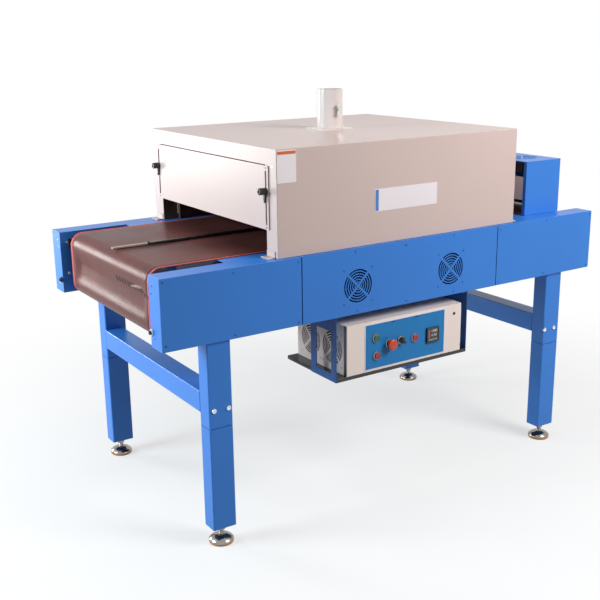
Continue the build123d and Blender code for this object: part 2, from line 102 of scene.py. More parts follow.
def level(z):
    """Height in metres of z millimetres over the frames' underside."""
    return place(0, 0, z).z


def beside(x, y, z):
    """Point at millimetres x and z, and at y in metres."""
    spot = place(x, 0, z)
    return Vector((spot.x, y, spot.z))


# Settings a user would change


def colour_setting(name, description, *default):
    return FloatVectorProperty(name=name, description=description, subtype="COLOR", min=0.0, max=1.0,
                               default=default)


def length_setting(name, description, least, most, default):
    return FloatProperty(name=name, description=description, unit="LENGTH", subtype="DISTANCE", min=least,
                         max=most, default=default)


def power_setting(name, description, default):
    return FloatProperty(name=name, description=description, unit="POWER", min=0.0, max=1000.0, default=default)


class TunnelPaint(bpy.types.PropertyGroup):
    frame_blue: colour_setting("Frame blue", "Powder coat of the frames and legs", 0.042, 0.222, 0.710)
    hood_cream: colour_setting("Hood cream", "Paint of the hood and its shutters", 0.680, 0.535, 0.500)
    plate_blue: colour_setting("Control plate blue", "Printed plate round the push buttons", 0.020, 0.215, 0.540)
    belt_brown: colour_setting("Belt brown", "Coating of the belt mesh", 0.140, 0.050, 0.045)
    binding_coral: colour_setting("Binding coral", "Stitched tape along the belt's edges", 0.560, 0.070, 0.065)
    edge_radius: length_setting("Folded edge radius", "Outer radius of the folded sheet", 0.0002, 0.01, 0.0022)


class TunnelBelt(bpy.types.PropertyGroup):
    mesh_pitch: length_setting("Mesh pitch", "Distance between the strands of the belt mesh", 0.001, 0.02, 0.004)
    sheet: length_setting("Belt thickness", "Thickness of the coated mesh", 0.0005, 0.006, 0.0018)
    nose_radius: length_setting("Nose radius", "Outer radius of the belt at a nose roller", 0.005, 0.08, 0.040)
    nose_steps: IntProperty(name="Nose steps", description="Faces round each quarter turn of the belt",
                            min=4, max=32, default=12)
    lacing_pitch: length_setting("Lacing pitch", "Distance between the hooks of the belt joint",
                                 0.003, 0.03, 0.0215)


class TunnelFasteners(bpy.types.PropertyGroup):
    panel_screw: length_setting("Panel screw radius", "Head radius of the cover panel screws",
                                0.001, 0.01, 0.0032)
    leg_bolt: length_setting("Leg bolt radius", "Head radius of the bolts of the legs", 0.002, 0.02, 0.0075)
    head_sides: IntProperty(name="Head sides", description="Faces round each screw head",
                            min=8, max=48, default=18)


class TunnelStudio(bpy.types.PropertyGroup):
    key_power: power_setting("Infeed light", "Soft box at the infeed end", 76.0)
    front_power: power_setting("Front light", "Soft box at the operator's right", 65.0)
    back_power: power_setting("Back light", "Soft box behind the infeed end, for the belt's sheen", 55.0)
    top_power: power_setting("Overhead light", "Soft box over the machine", 14.5)
    ambient: FloatProperty(name="Room light", description="Even light of the white room",
                           min=0.0, max=2.0, default=0.13)
    lens: FloatProperty(name="Lens", description="Focal length on a 36 mm wide sensor",
                        min=10.0, max=200.0, default=56.557)


GROUPS = {
    "tunnel_paint": TunnelPaint,
    "tunnel_belt": TunnelBelt,
    "tunnel_fasteners": TunnelFasteners,
    "tunnel_studio": TunnelStudio,
}


# Finishes


def add_node(tree, kind, inputs, **settings):
    """A shader node with its settings, each input linked to a socket or set to a value."""
    node = tree.nodes.new("ShaderNode" + kind)
    for name, value in settings.items():
        setattr(node, name, value)
    for key, value in inputs.items():
        socket = node.inputs[key]
        if isinstance(value, bpy.types.NodeSocket):
            tree.links.new(value, socket)
        elif socket.type == "RGBA":
            socket.default_value = (*value, 1.0)
        else:
            socket.default_value = value
    return node


class Finish:
    """One material, with its detail read on the piece's own Object coordinates."""

    def __init__(self, name, rough=0.5, metal=0.0, coat=0.0, shine=0.5):
        self.material = bpy.data.materials.new(name)
        self.material.use_nodes = True
        self.tree = self.material.node_tree
        self.shader = self.tree.nodes["Principled BSDF"]
        self.where = self.tree.nodes.new("ShaderNodeTexCoord").outputs["Object"]
        for socket, value in (("Roughness", rough), ("Metallic", metal), ("Coat Weight", coat),
                              ("Coat Roughness", 0.1), ("Specular IOR Level", shine)):
            self.shader.inputs[socket].default_value = value

    def add(self, kind, inputs, **settings):
        return add_node(self.tree, kind, inputs, **settings)

    def wire(self, source, socket):
        self.tree.links.new(source, self.shader.inputs[socket])

    def stretched(self, x, y, z):
        return self.add("Mapping", {"Scale": (x, y, z), "Vector": self.where}).outputs["Vector"]

    def noise(self, scale, detail=3.0, where=None):
        return self.add("TexNoise", {"Scale": scale, "Detail": detail, "Vector": where or self.where}).outputs["Fac"]

    def ramp(self, value, *stops):
        node = self.add("ValToRGB", {"Fac": value})
        node.color_ramp.interpolation = "EASE"
        marks = node.color_ramp.elements
        while len(marks) < len(stops):
            marks.new(0.5)
        for mark, (spot, colour) in zip(marks, stops):
            mark.position = spot
            mark.color = (*colour, 1.0)
        return node.outputs["Color"]

    def shades(self, value, colour, dark, light, start=0.3, end=0.7):
        """Two tones of one colour as the value rises."""
        return self.ramp(value, (start, scaled(colour, dark)), (end, scaled(colour, light)))

    def greys(self, value, low, high, start=0.3, end=0.7):
        return self.ramp(value, (start, (low,) * 3), (end, (high,) * 3))

    def sums(self, work, first, second):
        return self.add("Math", {0: first, 1: second}, operation=work).outputs["Value"]

    def blend(self, share, first, second, mode="MIX"):
        return self.add("Mix", {0: share, 6: first, 7: second}, data_type="RGBA", blend_type=mode).outputs[2]

    def attribute(self, name):
        return self.add("Attribute", {}, attribute_name=name).outputs["Fac"]

    def waves(self, value, pitch):
        """Height from 0 to 1 that rises and falls once every pitch."""
        turn = self.sums("MULTIPLY", value, 2 * pi / pitch)
        return self.sums("MULTIPLY_ADD", self.sums("SINE", turn, 0.0), 0.5)

    def relief(self, height, strength, distance):
        bump = self.add("Bump", {"Strength": strength, "Distance": distance, "Height": height})
        self.wire(bump.outputs["Normal"], "Normal")


def scaled(colour, factor):
    return tuple(min(1.0, part * factor) for part in colour)


def coated(name, colour, rough=0.34, spread=0.05, peel=0.1, dust=0.015, shine=0.22, tone=1.0):
    """Powder coat or enamel: slow drift of tone, fine speckle, orange peel."""
    skin = Finish(name, rough=rough, shine=shine)
    colour = scaled(colour, tone)
    drift = skin.shades(skin.noise(1.7), colour, 1 - spread, 1 + spread)
    speck = skin.greys(skin.noise(520.0, 2.0), 1 - dust, 1 + dust, 0.35, 0.65)
    skin.wire(skin.blend(1.0, drift, speck, "MULTIPLY"), "Base Color")
    skin.wire(skin.greys(skin.noise(220.0, 2.0), rough - 0.004, rough + 0.004), "Roughness")
    skin.relief(skin.noise(430.0, 2.0), peel, 0.0004)
    return skin.material


def brushed(name, colour, rough, along=(3.0, 260.0, 260.0)):
    """Rolled or turned steel: fine lines along one direction and faint stains."""
    skin = Finish(name, rough=rough, metal=1.0)
    lines = skin.noise(4.0, 5.0, skin.stretched(*along))
    tone = skin.shades(lines, colour, 0.82, 1.12)
    stain = skin.greys(skin.noise(9.0, 4.0), 0.0, 0.45, 0.45, 0.75)
    skin.wire(skin.blend(stain, tone, scaled(colour, 0.6)), "Base Color")
    skin.wire(skin.greys(lines, rough - 0.08, rough + 0.12), "Roughness")
    skin.relief(lines, 0.12, 0.0003)
    return skin.material


def moulded(name, colour, rough, grain=0.2, coat=0.0):
    """Moulded plastic: fine grain, small changes of tone and gloss."""
    skin = Finish(name, rough=rough, coat=coat)
    skin.wire(skin.shades(skin.noise(28.0), colour, 0.86, 1.14), "Base Color")
    skin.wire(skin.greys(skin.noise(120.0), rough - 0.07, rough + 0.09), "Roughness")
    skin.relief(skin.noise(1600.0, 2.0), grain, 0.0002)
    return skin.material


def plated(name, colour, rough):
    """Bright plating with a little haze and wiping marks."""
    skin = Finish(name, rough=rough, metal=1.0)
    skin.wire(skin.shades(skin.noise(42.0, 5.0), colour, 0.88, 1.08), "Base Color")
    skin.wire(skin.greys(skin.noise(75.0, 4.0), rough, rough + 0.12), "Roughness")
    skin.relief(skin.noise(300.0, 2.0), 0.05, 0.0002)
    return skin.material


def mesh_belt(name, colour):
    """Coated glass mesh: strands both ways, worn gloss, faint streaks along the travel."""
    skin = Finish(name, rough=0.32, shine=0.1)
    pitch = bpy.context.scene.tunnel_belt.mesh_pitch
    parts = skin.add("SeparateXYZ", {"Vector": skin.where})
    strands = skin.sums("MULTIPLY", skin.waves(skin.attribute("travel"), pitch), skin.waves(parts.outputs["Y"], pitch))
    cloud = skin.noise(7.0, 5.0)
    tone = skin.shades(strands, colour, 1.1, 0.72, 0.0, 0.75)
    worn = skin.ramp(cloud, (0.35, (0.86, 0.86, 0.88)), (0.7, (1.12, 1.06, 1.04)))
    streak = skin.greys(skin.noise(5.0, 4.0, skin.stretched(1.0, 14.0, 1.0)), 0.93, 1.07, 0.35, 0.65)
    skin.wire(skin.blend(1.0, skin.blend(1.0, tone, worn, "MULTIPLY"), streak, "MULTIPLY"), "Base Color")
    skin.wire(skin.greys(cloud, 0.32, 0.40), "Roughness")
    skin.relief(strands, 0.22, 0.0004)
    return skin.material


def stitched(name, colour):
    """Edge tape: stitches across a woven band."""
    skin = Finish(name, rough=0.6)
    stitches = skin.waves(skin.attribute("travel"), 0.005)
    weave = skin.noise(600.0, 2.0)
    tone = skin.shades(stitches, colour, 0.82, 1.12)
    skin.wire(skin.blend(1.0, tone, skin.greys(weave, 0.9, 1.08), "MULTIPLY"), "Base Color")
    skin.wire(skin.greys(weave, 0.5, 0.7), "Roughness")
    skin.relief(stitches, 0.4, 0.0006)
    return skin.material


def lit(name, colour, strength):
    """Segment of a lit display, a touch uneven."""
    skin = moulded(name, colour, 0.35, 0.05)
    shader = skin.node_tree.nodes["Principled BSDF"]
    shader.inputs["Emission Color"].default_value = (*colour, 1.0)
    shader.inputs["Emission Strength"].default_value = strength
    return skin


def tinted(name, colour):
    """Sheet in the hot chamber: straw and brown heat tints over dark grey."""
    skin = Finish(name, rough=0.42, metal=0.7)
    skin.wire(skin.ramp(skin.noise(5.0, 5.0), (0.25, (0.045, 0.038, 0.034)), (0.55, colour),
                        (0.8, (0.16, 0.11, 0.075))), "Base Color")
    skin.wire(skin.greys(skin.noise(22.0, 4.0), 0.34, 0.55), "Roughness")
    skin.relief(skin.noise(60.0), 0.08, 0.0005)
    return skin.material


# maker, material's name, colour or the paint setting that holds it, and what else the maker is told
MAKERS = {
    "frame_blue": (coated, "frame_blue_powder_coat", "frame_blue", {"shine": 0.34}),
    "hood_cream": (coated, "hood_cream_enamel", "hood_cream",
                   {"rough": 0.28, "peel": 0.01, "spread": 0.012, "dust": 0.006, "shine": 0.08}),
    "pipe_cream": (coated, "exhaust_pipe_enamel", (0.76, 0.68, 0.66),
                   {"rough": 0.16, "peel": 0.01, "spread": 0.02, "dust": 0.006, "shine": 0.3}),
    # the control box's own enamel, also given to the cooling baffle, where its paler cream is painted light for the
    # shade under the cover
    "box_cream_and_baffle_light": (coated, "control_box_enamel", (0.95, 0.82, 0.76), {"peel": 0.04, "spread": 0.02, "dust": 0.01}),
    "plate_blue": (coated, "control_plate_print", "plate_blue", {"rough": 0.3, "peel": 0.03}),
    # the hangers take the frame blue at half its tone: painted shade from the frames over them
    "hanger_shaded_blue": (coated, "hanger_deep_blue", "frame_blue", {"rough": 0.3, "tone": 0.5}),
    "tray": (coated, "tray_dark_grey_coat", (0.030, 0.028, 0.028),
             {"rough": 0.2, "spread": 0.18, "peel": 0.02, "dust": 0.05, "shine": 0.5}),
    "plate_white": (coated, "plain_white_plate", (0.90, 0.83, 0.86), {"peel": 0.04, "dust": 0.01}),
    "plate_orange": (coated, "plain_orange_band", (0.72, 0.16, 0.05), {"rough": 0.35, "peel": 0.04}),
    "plate_band": (coated, "plain_blue_band", (0.10, 0.25, 0.62), {"rough": 0.35, "peel": 0.04}),
    "belt": (mesh_belt, "belt_coated_mesh", "belt_brown"),
    "belt_worn": (moulded, "belt_worn_crease", (0.20, 0.105, 0.090), 0.6),
    "binding": (stitched, "belt_edge_tape", "binding_coral"),
    "hook_dark": (moulded, "lacing_hook_dark", (0.022, 0.009, 0.008), 0.6, 0.1),
    "bed_steel": (brushed, "slider_bed_sheet", (0.16, 0.155, 0.16), 0.42),
    "roller_steel": (brushed, "turned_roller_steel", (0.10, 0.10, 0.105), 0.4, (260.0, 3.0, 260.0)),
    "chamber": (tinted, "heated_chamber_steel", (0.10, 0.075, 0.055)),
    "fan_black": (moulded, "fan_black_moulding", (0.018, 0.019, 0.022), 0.42),
    "lever_black": (moulded, "lever_black_moulding", (0.014, 0.014, 0.015), 0.35, 0.3),
    "plated": (plated, "bright_plated_steel", (0.78, 0.77, 0.76), 0.09),
    # dark plating on the feet: painted reflection of a dark room in the chrome
    "foot_dark_reflection_plated": (plated, "foot_bright_plating", (0.30, 0.28, 0.26), 0.12),
    "foot_pad": (moulded, "foot_pad_amber", (0.66, 0.26, 0.07), 0.4, 0.1),
    # dark plating on the button rings: partly dark metal, partly painted reflection of a dark room
    "ring_dark_and_reflection": (plated, "button_ring_plating", (0.24, 0.25, 0.27), 0.14),
    "screw_dark": (plated, "panel_screw_blued", (0.035, 0.045, 0.085), 0.3),
    "bolt_zinc": (plated, "leg_bolt_zinc", (0.70, 0.72, 0.75), 0.22),
    # dark grey strips at the sides of the box's door: painted shade
    "door_side_shade": (moulded, "door_return_grey", (0.10, 0.09, 0.10), 0.45),
    "green": (moulded, "start_button_green", (0.006, 0.130, 0.048), 0.2, 0.05, 0.15),
    "red": (moulded, "push_button_red", (0.380, 0.008, 0.012), 0.2, 0.05, 0.15),
    "mushroom": (moulded, "stop_mushroom_red", (0.600, 0.058, 0.012), 0.26, 0.05, 0.15),
    # near-black strips at the cooling cover's outfeed end: painted shade
    "curtain": (moulded, "curtain_dark_rubber", (0.020, 0.013, 0.012), 0.5),
    # black of the centre strip; on the strip's tip, the black below the beige band is painted shade
    "strip_black": (moulded, "guide_strip_black", (0.016, 0.015, 0.017), 0.3, 0.15),
    "strip_beige": (moulded, "guide_strip_beige", (0.46, 0.36, 0.26), 0.42),
    "nylon": (moulded, "take_up_collar_nylon", (0.80, 0.80, 0.78), 0.4, 0.1),
    "display_face": (moulded, "display_black_face", (0.010, 0.010, 0.012), 0.16, 0.03, 0.4),
    "digit_red": (lit, "display_digit_red", (0.85, 0.07, 0.03), 0.5),
    "digit_white": (lit, "display_digit_white", (0.62, 0.62, 0.58), 0.35),
    "key_grey": (moulded, "display_key_grey", (0.34, 0.34, 0.33), 0.4, 0.1),
}
FINISHES = {}


def finish(name):
    """The named finish, made on first use."""
    if name not in FINISHES:
        make, label, colour, *rest = MAKERS[name]
        if isinstance(colour, str):
            colour = tuple(getattr(bpy.context.scene.tunnel_paint, colour))
        named = rest.pop() if rest and isinstance(rest[-1], dict) else {}
        FINISHES[name] = make(label, colour, *rest, **named)
    return FINISHES[name]


# Mesh tools


def as_mesh(name, work):
    """Ends a bmesh as a mesh."""
    mesh = bpy.data.meshes.new(name)
    work.to_mesh(mesh)
    work.free()
    return mesh


def as_piece(name, work, material, sharp=SHARP):
    """Ends a bmesh as an object at the origin, with its place in its mesh."""
    mesh = as_mesh(name, work)
    mesh.materials.append(material)
    mesh.shade_smooth()
    mesh.set_sharp_from_angle(angle=radians(sharp))
    piece = bpy.data.objects.new(name, mesh)
    bpy.context.scene.collection.objects.link(piece)
    return even_faces(piece)


def even_faces(piece):
    """Flat faces shade flat beside their rounded edges."""
    even = piece.modifiers.new("Even faces", "WEIGHTED_NORMAL")
    even.weight = 50
    even.keep_sharp = True
    return piece


def fit(piece, node, stands_for=()):
    """The piece rides with that node's body, and may stand for nodes."""
    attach(piece, NODES[node]["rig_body"])
    if stands_for:
        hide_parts(*stands_for)
    return piece


def fitted(name, work, colour, node, stands_for=(), sharp=SHARP):
    """Ends a bmesh as a piece of one finish, fitted to a node."""
    return fit(as_piece(name, work, finish(colour), sharp=sharp), node, stands_for)


def paint_nodes(colour, *nodes):
    """Paints solids that stay as they are."""
    for node in nodes:
        slots = NODES[node].data.materials
        if len(slots):
            for k in range(len(slots)):
                slots[k] = finish(colour)
        else:
            slots.append(finish(colour))


def round_edges(work, edges, width, segments=2):
    if edges:
        bmesh.ops.bevel(work, geom=edges, offset=width, offset_type="OFFSET", segments=segments, profile=0.5,
                        affect="EDGES", material=-1, clamp_overlap=True)


def sharp_edges(work):
    return [e for e in work.edges if len(e.link_faces) == 2 and e.calc_face_angle() > radians(BENT)]


def softened(width, colour, *nodes, segments=2):
    """Each node's own solid with its outer edges rounded, standing for that node."""
    for node in nodes:
        work = bmesh.new()
        work.from_mesh(NODES[node].data)
        bmesh.ops.remove_doubles(work, verts=work.verts, dist=CLOSE)
        bmesh.ops.dissolve_limit(work, angle_limit=radians(0.4), verts=work.verts, edges=work.edges)
        round_edges(work, sharp_edges(work), width, segments)
        fitted(node + "_dressed", work, colour, node, stands_for=(node,))


def box_into(work, low, high):
    """Adds a box between two corners and returns its vertices."""
    low, high = Vector(low), Vector(high)
    made = bmesh.ops.create_cube(work, size=1.0)["verts"]
    bmesh.ops.scale(work, vec=high - low, verts=made)
    bmesh.ops.translate(work, vec=(low + high) / 2, verts=made)
    return made


def boxes(name, pairs, colour, node, width=0.0, segments=2, stands_for=()):
    """A fitted piece of boxes between pairs of corners, their edges rounded by the width if one is given."""
    work = bmesh.new()
    for low, high in pairs:
        box_into(work, low, high)
    if width:
        round_edges(work, sharp_edges(work), width, segments)
    return fitted(name, work, colour, node, stands_for)


def plate(name, low, high, colour, node, radius, segments):
    """A fitted thin plate that faces the near side, with round corners."""
    work = bmesh.new()
    box_into(work, low, high)
    corners = [e for e in work.edges if abs(e.verts[0].co.y - e.verts[1].co.y) > CLOSE]
    round_edges(work, corners, radius, segments)
    fitted(name, work, colour, node)


def turned(work, profile, centre, axis, steps):
    """Spins a profile of (radius, height) points about an axis through centre."""
    away = Vector(axis).orthogonal().normalized()
    along = Vector(axis).normalized()
    line = [work.verts.new(Vector(centre) + away * r + along * h) for r, h in profile]
    edges = [work.edges.new(pair) for pair in zip(line, line[1:])]
    bmesh.ops.spin(work, geom=line + edges, cent=centre, axis=along, angle=2 * pi, steps=steps,
                   use_merge=True, use_duplicate=False)
    bmesh.ops.remove_doubles(work, verts=work.verts, dist=SAME_POINT)
    bmesh.ops.recalc_face_normals(work, faces=work.faces)


def spun(name, profile, centre, axis, steps, colour, node, stands_for=(), sharp=SHARP):
    """A fitted piece turned from one profile."""
    work = bmesh.new()
    turned(work, profile, centre, axis, steps)
    fitted(name, work, colour, node, stands_for, sharp)


def screw_head(radius, height, recess=0.45):
    """Mesh of one low head with a round recess, standing on z = 0."""
    work = bmesh.new()
    bmesh.ops.create_cone(work, cap_ends=True, segments=bpy.context.scene.tunnel_fasteners.head_sides,
                          radius1=radius, radius2=radius, depth=height,
                          matrix=Matrix.Translation((0, 0, height / 2)))
    rim = [e for e in work.edges if min(v.co.z for v in e.verts) > height * 0.9]
    round_edges(work, rim, height * 0.4, 2)
    crown = max(work.faces, key=lambda f: f.calc_center_median().z)
    bmesh.ops.inset_individual(work, faces=[crown], thickness=radius * (1 - recess) * 0.75)
    sunk = bmesh.ops.extrude_discrete_faces(work, faces=[crown])["faces"]
    bmesh.ops.translate(work, vec=(0, 0, -height * 0.45), verts=sunk[0].verts)
    return as_mesh("head_pattern", work)


def repeated(name, pattern, spots, outward, colour, node):
    """A fitted piece of many copies of a steel pattern, each turned to face outward."""
    turn = Vector(UP).rotation_difference(Vector(outward)).to_matrix().to_4x4()
    work = bmesh.new()
    for spot in spots:
        known = len(work.verts)
        work.from_mesh(pattern)
        work.verts.ensure_lookup_table()
        bmesh.ops.transform(work, matrix=Matrix.Translation(spot) @ turn, verts=work.verts[known:])
    return fitted(name, work, colour, node)


# Side frames, covers and their screws


class TUNNEL_OT_side_frames(bpy.types.Operator):
    """Paint the side frames and cover panels and set their screws"""
    bl_idname = "tunnel.side_frames"
    bl_label = "Side frames and covers"

    def execute(self, context):
        softened(0.0007, "frame_blue", "side_frame_near", "side_frame_far", "near_infeed_cover",
                 "near_outfeed_cover", "far_infeed_cover", "far_centre_cover", "far_outfeed_cover",
                 "bed_side_strips")
        paint_nodes("frame_blue", "near_centre_cover")
        paint_nodes("fan_black", "side_fans")

        near_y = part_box("near_infeed_cover")[0].y
        far_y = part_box("far_infeed_cover")[1].y
        panel_spots = ((-833, 195), (-831, 17), (-618, 190), (-618, 10), (-404, 190), (-404, 10), (-200, 195),
                       (-193, 10), (-6, 190), (-2, 10), (190, 196), (196, 10), (396, 190), (396, 10), (612, 196),
                       (612, 10), (831, 195), (831, 10))
        fan_spots = [(x + sx * FAN_SCREW, 88 + sz * FAN_SCREW) for x in (-190, 181) for sx, sz in CORNERS]
        pattern = screw_head(context.scene.tunnel_fasteners.panel_screw, SCREW_HEIGHT)
        near = [beside(x, near_y + SCREW_HEIGHT, z) for x, z in (*panel_spots, *fan_spots)]
        far = [beside(x, far_y - SCREW_HEIGHT, z) for x, z in panel_spots]
        repeated("near_cover_screws", pattern, near, NEAR, "screw_dark", "near_infeed_cover")
        repeated("far_cover_screws", pattern, far, FAR, "screw_dark", "far_infeed_cover")

        for (side, s), metal in zip(SIDES, ("frame_blue", "bolt_zinc")):
            ends = [place(-842, s * y, z) for y, z in ((369, 177), (364, 155), (374, 29))]
            repeated(side + "_flange_screws", pattern, ends, INFEED, metal, "side_frame_" + side)
        bolt = screw_head(0.005, 0.003)
        strip_bolt = screw_head(0.0045, 0.0024)
        for (side, s), (y0, y1) in zip(SIDES, ((-350, -343), (343, 350))):
            boxes(side + "_bearing_block", [(place(-815, y0, 151), place(-790, y1, 182))], "lever_black",
                  "side_frame_" + side, 0.002)
            spots = [place(x, s * 350, z) for x, z in ((-818, 170), (-818, 66), (818, 170))]
            repeated(side + "_bearing_screws", bolt, spots, (0, -s, 0), "bolt_zinc", "side_frame_near")
            strip = [place(x, s * 337, 202) + Vector((0, 0, 0.0004)) for x in (-598, 598)]
            repeated(side + "_strip_bolts", strip_bolt, strip, UP, "screw_dark", "bed_side_strips")
        return {"FINISHED"}


# Belt, binding, lacing, rollers and bed

# how far in the belt draws between the infeed noses: millimetres (height, depth)
SLACK = ((44, 0.0), (51, 0.6), (58, 2.6), (68, 6.2), (80, 8.8), (96, 10.6), (108, 11.6), (118, 11.8), (155, 1.8),
         (161, 0.4), (167, 0.0))
NEAR_EDGE = BELT_LOW.y - 0.007  # where the sheet meets the near tape
FADE = 0.05  # from each edge, over which the slack comes in
LAST_STEP = 0.001  # the step that closes the band
STAND_OFF = 0.0006  # hooks stand this far off the sheet, and the crease's rim lies as far inside it
CREASE_RISE = 0.006


def slack(z):
    """Depth in metres at height z, straight between the points of SLACK."""
    height = (z - UNDERSIDE) * 1000
    for (z0, d0), (z1, d1) in zip(SLACK, SLACK[1:]):
        if z0 <= height <= z1:
            return (d0 + (d1 - d0) * (height - z0) / (z1 - z0)) / 1000
    return 0.0


def dip(y, z):
    """The slack at height z, less towards the sheet's two edges."""
    edge = max(0.0, min(1.0, (y - NEAR_EDGE) / FADE, (BELT_HIGH.y - y) / FADE))
    return slack(z) * edge * edge * (3 - 2 * edge)


def belt_band(name, low_y, high_y, colour, across=1, slackened=False):
    """One closed band round the four nose rollers, with its travel as an attribute."""
    settings = bpy.context.scene.tunnel_belt
    radius = settings.nose_radius
    low, high = BELT_LOW, BELT_HIGH
    work = bmesh.new()
    travel = work.verts.layers.float.new("travel")
    start = [work.verts.new((0.0, low_y + (high_y - low_y) * k / across, low.z)) for k in range(across + 1)]
    front = [work.edges.new(pair) for pair in zip(start, start[1:])]
    gone = 0.0

    def draw_on(steps, length, move, **how):
        """Draws the front edges on by equal steps, and marks how far the belt has gone."""
        nonlocal front, gone
        for _ in range(steps):
            made = bmesh.ops.extrude_edge_only(work, edges=front)["geom"]
            verts = [g for g in made if isinstance(g, bmesh.types.BMVert)]
            move(work, verts=verts, **how)
            ends = set(verts)
            front = [g for g in made if isinstance(g, bmesh.types.BMEdge) and set(g.verts) <= ends]
            gone += length
            for vert in verts:
                vert[travel] = gone

    left, right = low.x + radius, high.x - radius
    foot, head = low.z + radius, high.z - radius
    tall = high.z - low.z - 2 * radius
    quarter = pi / 2 / settings.nose_steps
    for way, steps, nose in (
            ((left, 0, 0), 12, (left, 0, foot)), ((0, 0, tall), 20, (left, 0, head)),
            ((high.x - low.x - 2 * radius, 0, 0), 24, (right, 0, head)), ((0, 0, -tall), 6, (right, 0, foot)),
            ((LAST_STEP - right, 0, 0), 12, None), ((-LAST_STEP, 0, 0), 1, None)):
        draw_on(steps, Vector(way).length / steps, bmesh.ops.translate, vec=Vector(way) / steps)
        if nose:
            draw_on(settings.nose_steps, radius * quarter, bmesh.ops.rotate, cent=nose,
                    matrix=Matrix.Rotation(quarter, 3, "Y"))
    bmesh.ops.remove_doubles(work, verts=work.verts, dist=SAME_POINT)
    if slackened:
        for vert in work.verts:
            if vert.co.x < low.x + CLOSE:
                vert.co.x += dip(vert.co.y, vert.co.z)
    bmesh.ops.recalc_face_normals(work, faces=work.faces)
    piece = as_piece(name, work, finish(colour), sharp=ROUND_SHARP)
    wall = piece.modifiers.new("sheet", "SOLIDIFY")
    wall.thickness = settings.sheet
    wall.offset = -1.0
    return piece


class TUNNEL_OT_belt(bpy.types.Operator):
    """Lay the coated belt, its stitched binding, its laced joint and its paler crease"""
    bl_idname = "tunnel.belt"
    bl_label = "Belt, binding and lacing"

    def execute(self, context):
        fit(belt_band("coated_belt", NEAR_EDGE, BELT_HIGH.y, "belt", 48, True), "conveyor_belt",
            stands_for=("conveyor_belt",))
        near_tape = fit(belt_band("near_edge_tape", BINDING_LOW.y, NEAR_EDGE, "binding"), "belt_edge_binding")
        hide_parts("belt_edge_binding")
        fit(belt_band("far_edge_tape", BELT_HIGH.y, BINDING_HIGH.y, "binding"), "belt_edge_binding")

        hook = bmesh.new()
        box_into(hook, (-0.0095, -0.0024, 0.0), (0.0095, 0.0024, 0.0007))
        round_edges(hook, sharp_edges(hook), 0.0002, 1)
        pitch = context.scene.tunnel_belt.lacing_pitch
        first, last = place(0, -296, 0).y, place(0, -36, 0).y
        spots = []
        for k in range(int((last - first) / pitch)):
            y = first + k * pitch
            height = level(124 if y < place(0, -250, 0).y else 133)
            spots.append(Vector((BELT_LOW.x + dip(y, height) - STAND_OFF, y, height)))
        height = level(133)
        lean = (slack(height) - slack(height + 0.01)) / 0.01
        repeated("belt_lacing_hooks", as_mesh("hook_pattern", hook), spots, (-1, 0, -lean), "hook_dark",
                 "conveyor_belt")

        # a raised crease on the infeed run, in a paler brown than the belt
        crease = bmesh.new()
        bmesh.ops.create_grid(crease, x_segments=24, y_segments=6, size=0.5)
        for vert in crease.verts:
            along, over = 2 * vert.co.x, 2 * vert.co.y
            swell = (1 - along ** 4) * (1 - over * over)
            height = level(137 + 8 * along + 7 * over * (1.04 - along * along))
            y = place(0, -212 - 56 * along, 0).y
            vert.co = (BELT_LOW.x + dip(y, height) + STAND_OFF - CREASE_RISE * swell, y, height)
        bmesh.ops.recalc_face_normals(crease, faces=crease.faces)
        fitted("belt_crease", crease, "belt_worn", "conveyor_belt")
        return {"FINISHED"}


class TUNNEL_OT_bed_and_rollers(bpy.types.Operator):
    """Finish the slider bed, its ties, the nose rollers and the take-up screws"""
    bl_idname = "tunnel.bed_and_rollers"
    bl_label = "Bed, rollers and take-up"

    def execute(self, context):
        softened(0.0006, "bed_steel", "slider_bed")
        softened(0.001, "bed_steel", "cross_ties")
        softened(0.0006, "roller_steel", "infeed_rollers", "outfeed_rollers")
        collars, washers, bolts = bmesh.new(), bmesh.new(), bmesh.new()
        collar = ((0.0, 0.0), (0.010, 0.0), (0.010, 0.003), (0.0092, 0.004), (0.0, 0.004))
        bolt = ((0.0, 0.004), (0.006, 0.004), (0.006, 0.0082), (0.0052, 0.009), (0.003, 0.009), (0.003, 0.0064),
                (0.0, 0.0064))
        for out, s in CORNERS:
            seat = beside(out * 842, CENTRE_Y + s * 0.359, 44)
            turned(collars if (s, out) == (-1, -1) else washers, collar, seat, (out, 0, 0), 28)
            turned(bolts, bolt, seat, (out, 0, 0), 20)
        fitted("take_up_collars", collars, "nylon", "take_up_screws", stands_for=("take_up_screws",))
        fitted("take_up_washers", washers, "screw_dark", "take_up_screws")
        fitted("take_up_bolts", bolts, "screw_dark", "take_up_screws")
        return {"FINISHED"}


# Hood, shutters and exhaust

BORE_RADIUS = 0.039  # of the pipe, cut through the hood's roof


